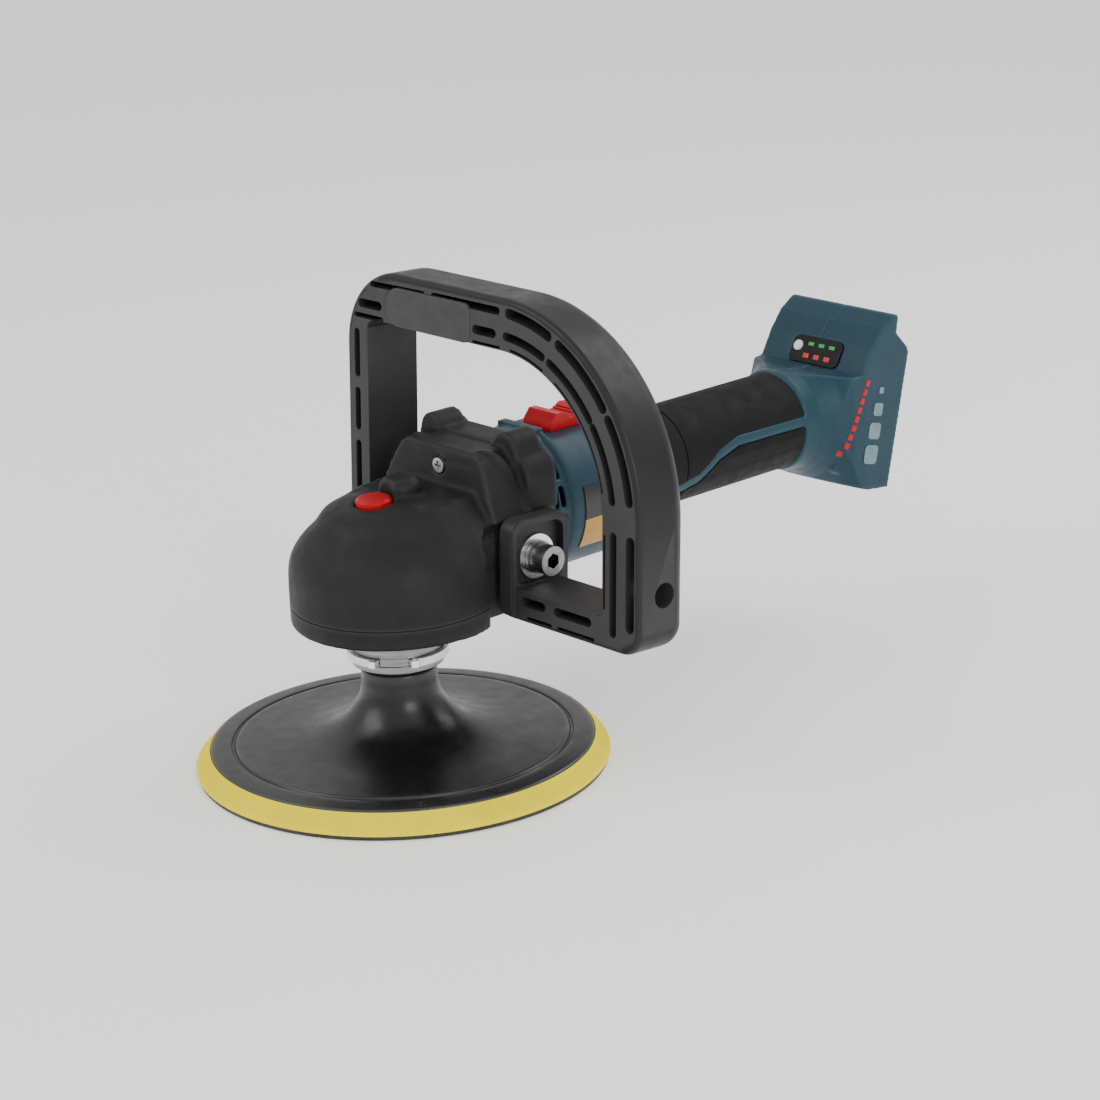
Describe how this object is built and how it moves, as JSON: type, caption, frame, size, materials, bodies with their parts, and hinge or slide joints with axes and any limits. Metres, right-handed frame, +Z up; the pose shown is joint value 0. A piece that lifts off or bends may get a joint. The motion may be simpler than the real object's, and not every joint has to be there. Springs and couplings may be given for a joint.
{
  "type": "rotary_polisher",
  "caption": "Cordless rotary polisher with a side-mounted loop handle, hook-and-loop foam pad, rubber-booted gear head, slide switch and a battery foot without its battery",
  "frame": {"origin": "centre of the pad's working face", "axes": "+Z up the spindle, -Y towards the nose, +Y towards the battery foot, +X towards the wide side of the loop handle"},
  "size_m": [0.2105, 0.3847, 0.2041],
  "materials": {
    "hook_black": "matte",
    "foam_yellow": "soft matte foam",
    "disc_black": "glossy",
    "steel_bright": "machined",
    "steel_dark": "oiled",
    "collar_metal": "turned",
    "clip_metal": "bright",
    "screw_steel": "dull zinc",
    "case_cast": "as cast",
    "boot_rubber": "matte",
    "red_plastic": "satin",
    "core_steel": "dull",
    "inner_plastic": "matte",
    "coil_copper": "enamelled copper",
    "board_green": "satin",
    "teal_plastic": "satin",
    "grip_rubber": "matte",
    "label_black": "satin film",
    "label_gold": "satin film",
    "panel_black": "smoked",
    "lamp_green": "diffuse",
    "lamp_red": "diffuse",
    "button_white": "satin",
    "brass_blades": "plated",
    "mark_grey": "printed",
    "handle_plastic": "satin",
    "handle_insert": "matte",
    "bolt_dark": "dark zinc",
    "washer_bright": "bright zinc"
  },
  "bodies": {
    "housing": {"bearing_outer_race": "steel_bright", "bearing_balls": "steel_bright", "top_bearing": "steel_bright", "bearing_collar": "collar_metal", "collar_clip": "clip_metal", "collar_screws": "screw_steel", "gear_case": "case_cast", "rubber_boot": "boot_rubber", "boot_screw": "screw_steel", "flange_screws": "screw_steel", "lock_spring": "steel_dark", "front_bearing": "steel_bright", "rear_bearing": "steel_bright", "stator_core": "core_steel", "stator_coils": "coil_copper", "sensor_board": "board_green", "housing_left": "teal_plastic", "housing_right": "teal_plastic", "shell_screws": "screw_steel", "grip_rubber_upper": "grip_rubber", "grip_rubber_lower": "grip_rubber", "label_dark": "label_black", "label_gold": "label_gold", "switch_unit": "inner_plastic", "controller_board": "board_green", "controller_parts": "inner_plastic", "indicator_panel": "panel_black", "indicator_board": "board_green", "green_lamps": "lamp_green", "red_lamps": "lamp_red", "speed_spring": "steel_dark", "terminal_block": "inner_plastic", "terminal_blades": "brass_blades", "side_marks": "mark_grey", "handle_bolts": "bolt_dark", "flat_washers": "washer_bright", "spring_washers": "bolt_dark"},
    "spindle_unit": {"hook_layer": "hook_black", "foam_pad": "foam_yellow", "backing_disc": "disc_black", "hub_insert": "steel_bright", "spindle": "steel_bright", "crown_gear": "steel_dark", "gear_circlip": "steel_dark", "bearing_inner_race": "steel_bright"},
    "rotor": {"rotor_shaft": "steel_bright", "rotor_core": "core_steel", "rotor_magnets": "core_steel", "cooling_fan": "inner_plastic", "pinion": "steel_dark"},
    "lock": {"lock_button": "red_plastic", "lock_pin": "steel_bright"},
    "slide": {"switch_slide": "red_plastic", "link_rod": "steel_bright"},
    "mode_button": {"speed_button": "button_white"},
    "loop": {"loop_handle": "handle_plastic", "handle_pad": "handle_insert"}
  },
  "joints": [
    {"name": "spindle_spin", "type": "hinge", "parent": "housing", "child": "spindle_unit", "pos_m": [0, 0, 0], "axis": [0, 0, 1], "continuous": true},
    {"name": "rotor_spin", "type": "hinge", "parent": "housing", "child": "rotor", "pos_m": [0, 0, 0.1011], "axis": [0, 1, 0], "continuous": true},
    {"name": "lock_press", "type": "slide", "parent": "housing", "child": "lock", "axis": [0, 0, -1], "range_m": [0, 0.0035], "stiffness_N_per_m": 600, "springref_m": -0.002, "deforming": ["lock_spring"]},
    {"name": "switch_travel", "type": "slide", "parent": "housing", "child": "slide", "axis": [0, -1, 0], "range_m": [0, 0.007]},
    {"name": "mode_press", "type": "slide", "parent": "housing", "child": "mode_button", "axis": [0, 0.866, -0.5], "range_m": [0, 0.0006], "stiffness_N_per_m": 500, "springref_m": -0.001},
    {"name": "handle_tilt", "type": "hinge", "parent": "housing", "child": "loop", "pos_m": [0, 0.0436, 0.091], "axis": [1, 0, 0], "range_deg": [-20, 20]}
  ],
  "couplings": [
    {"joint": "rotor_spin", "follows": "spindle_spin", "ratio": 4.1111}
  ]
}
